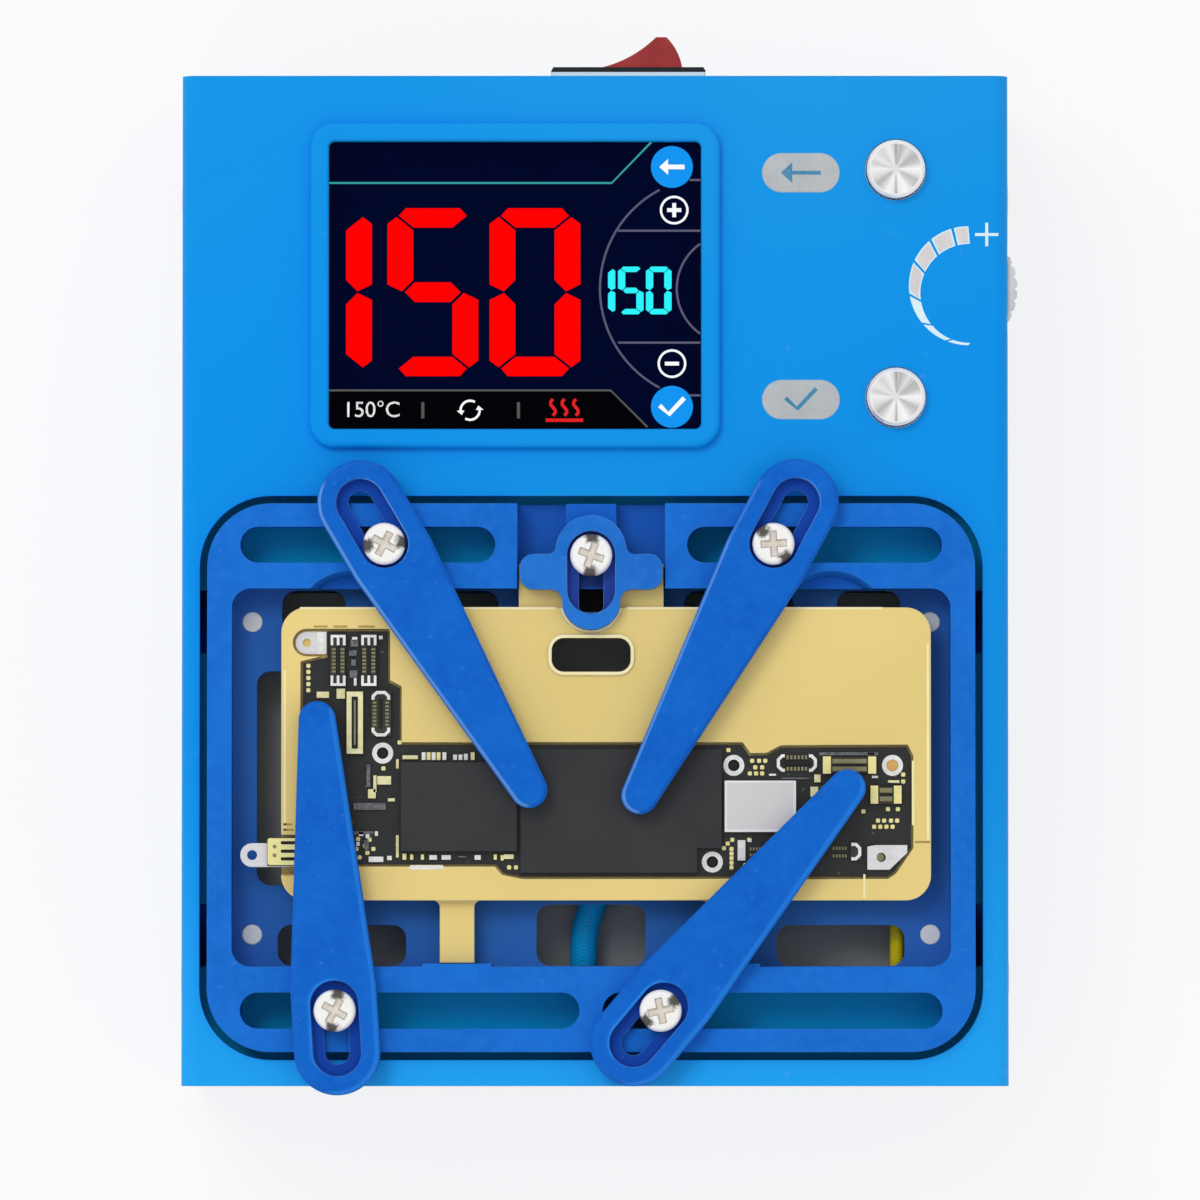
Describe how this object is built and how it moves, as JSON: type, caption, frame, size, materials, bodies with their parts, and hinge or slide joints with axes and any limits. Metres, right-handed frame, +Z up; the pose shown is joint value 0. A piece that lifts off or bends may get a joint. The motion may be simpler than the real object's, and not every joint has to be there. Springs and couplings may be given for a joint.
{
  "type": "heated desoldering fixture station",
  "caption": "Low sheet-metal station with a screen and push buttons, and a heated fixture whose slotted swivel arms clamp a small circuit board on a mould plate.",
  "frame": {"origin": "on the bench plane, below the centre of the case", "axes": "+X to the right seen from the front, +Y to the rear panel, +Z up"},
  "size_m": [0.1105, 0.1395, 0.0456],
  "materials": {
    "case_blue": "smooth powder coat",
    "fixture_blue": "anodised, satin",
    "bridge_blue": "smooth powder coat",
    "rubber": "matte",
    "screw_steel": "polished",
    "dark_shield": "matte",
    "insulation": "matte",
    "element": "dull",
    "bare_aluminium": "machined",
    "sleeve_teal": "woven sleeve",
    "lead_yellow": "smooth",
    "mould_gold": "anodised, satin",
    "window_glass": "glossy",
    "panel_grey": "matte",
    "board_green": "solder mask",
    "dark_plastic": "fine grain",
    "spun_steel": "turned",
    "wheel_grey": "smooth",
    "rocker_red": "glossy",
    "brass": "plain",
    "can_dark": "sleeved",
    "core": "varnished",
    "work_black": "solder mask",
    "chip_grey": "matte",
    "tin": "satin"
  },
  "bodies": {
    "station": {"top_cover": "case_blue", "base_tray": "case_blue", "rubber_feet": "rubber", "foot_screws": "screw_steel", "cover_screws": "screw_steel", "support_bridge": "bridge_blue", "bridge_screws": "screw_steel", "fixture_frame": "fixture_blue", "frame_studs": "screw_steel", "heat_shield": "dark_shield", "insulator": "insulation", "heating_element": "element", "heater_plate": "bare_aluminium", "heater_lead": "sleeve_teal", "sensor_lead": "lead_yellow", "mould_plate": "mould_gold", "clip_screw": "screw_steel", "display_bezel": "case_blue", "display_window": "window_glass", "lcd_panel": "panel_grey", "panel_spacer": "dark_plastic", "control_board": "board_green", "board_pillars": "brass", "board_screws": "screw_steel", "tact_switches": "dark_plastic", "encoder_body": "panel_grey", "switch_housing": "dark_plastic", "switch_terminals": "brass", "power_inlet": "dark_plastic", "inlet_pins": "brass", "power_board": "board_green", "power_pillars": "brass", "transformer": "core", "capacitors": "can_dark", "heat_sink": "dark_shield", "terminal_blocks": "board_green", "work_board": "work_black", "work_chips": "chip_grey", "work_shield": "tin", "work_connectors": "tin", "work_tabs": "tin"},
    "power_rocker": {"power_rocker": "rocker_red"},
    "exit_button": {"exit_button": "spun_steel"},
    "ok_button": {"ok_button": "spun_steel"},
    "adjust_wheel": {"adjust_wheel": "wheel_grey"},
    "clip": {"clip": "fixture_blue"},
    "slide_nut_1": {"slide_nut_1": "screw_steel"},
    "clamp_screw_1": {"clamp_screw_1": "screw_steel"},
    "clamp_arm_1": {"clamp_arm_1": "fixture_blue"},
    "slide_nut_2": {"slide_nut_2": "screw_steel"},
    "clamp_screw_2": {"clamp_screw_2": "screw_steel"},
    "clamp_arm_2": {"clamp_arm_2": "fixture_blue"},
    "slide_nut_3": {"slide_nut_3": "screw_steel"},
    "clamp_screw_3": {"clamp_screw_3": "screw_steel"},
    "clamp_arm_3": {"clamp_arm_3": "fixture_blue"},
    "slide_nut_4": {"slide_nut_4": "screw_steel"},
    "clamp_screw_4": {"clamp_screw_4": "screw_steel"},
    "clamp_arm_4": {"clamp_arm_4": "fixture_blue"}
  },
  "joints": [
    {"name": "power_rocker_tilt", "type": "hinge", "parent": "station", "child": "power_rocker", "pos_m": [0.0044, 0.0672, 0.0205], "axis": [0, 0, 1], "range_deg": [-48, 0]},
    {"name": "exit_button_press", "type": "slide", "parent": "station", "child": "exit_button", "axis": [0, 0, -1], "range_m": [0, 0.0008], "stiffness_N_per_m": 300, "springref_m": -0.001},
    {"name": "ok_button_press", "type": "slide", "parent": "station", "child": "ok_button", "axis": [0, 0, -1], "range_m": [0, 0.0008], "stiffness_N_per_m": 300, "springref_m": -0.001},
    {"name": "adjust_wheel_turn", "type": "hinge", "parent": "station", "child": "adjust_wheel", "pos_m": [0.0463, 0.0383, 0.0357], "axis": [0, 0, 1], "continuous": true},
    {"name": "clip_slide", "type": "slide", "parent": "station", "child": "clip", "axis": [0, 1, 0], "range_m": [0, 0.0049]},
    {"name": "clamp_1_slide", "type": "slide", "parent": "station", "child": "slide_nut_1", "axis": [1, 0, 0], "range_m": [-0.0135, 0.0075]},
    {"name": "clamp_1_swing", "type": "hinge", "parent": "slide_nut_1", "child": "clamp_screw_1", "pos_m": [-0.02743, 0.00455, 0.0434], "axis": [0, 0, -1], "range_deg": [-26, 29]},
    {"name": "clamp_1_reach", "type": "slide", "parent": "clamp_screw_1", "child": "clamp_arm_1", "axis": [0.5075, -0.8616, 0], "range_m": [0, 0.0062]},
    {"name": "clamp_2_slide", "type": "slide", "parent": "station", "child": "slide_nut_2", "axis": [-1, 0, 0], "range_m": [-0.0165, 0.0045]},
    {"name": "clamp_2_swing", "type": "hinge", "parent": "slide_nut_2", "child": "clamp_screw_2", "pos_m": [0.02323, 0.00455, 0.0434], "axis": [0, 0, 1], "range_deg": [-19, 21]},
    {"name": "clamp_2_reach", "type": "slide", "parent": "clamp_screw_2", "child": "clamp_arm_2", "axis": [-0.4695, -0.8829, 0], "range_m": [0, 0.0062]},
    {"name": "clamp_3_slide", "type": "slide", "parent": "station", "child": "slide_nut_3", "axis": [1, 0, 0], "range_m": [-0.0089, 0.0135]},
    {"name": "clamp_3_swing", "type": "hinge", "parent": "slide_nut_3", "child": "clamp_screw_3", "pos_m": [-0.03383, -0.05615, 0.0434], "axis": [0, 0, 1], "range_deg": [-26, 88]},
    {"name": "clamp_3_reach", "type": "slide", "parent": "clamp_screw_3", "child": "clamp_arm_3", "axis": [-0.061, 0.9981, 0], "range_m": [-0.0008, 0.0054]},
    {"name": "clamp_4_slide", "type": "slide", "parent": "station", "child": "slide_nut_4", "axis": [-1, 0, 0], "range_m": [-0.031, 0.004]},
    {"name": "clamp_4_swing", "type": "hinge", "parent": "slide_nut_4", "child": "clamp_screw_4", "pos_m": [0.00852, -0.05615, 0.0434], "axis": [0, 0, -1], "range_deg": [-23, 88]},
    {"name": "clamp_4_reach", "type": "slide", "parent": "clamp_screw_4", "child": "clamp_arm_4", "axis": [0.6428, 0.766, 0], "range_m": [-0.0007, 0.0055]}
  ]
}
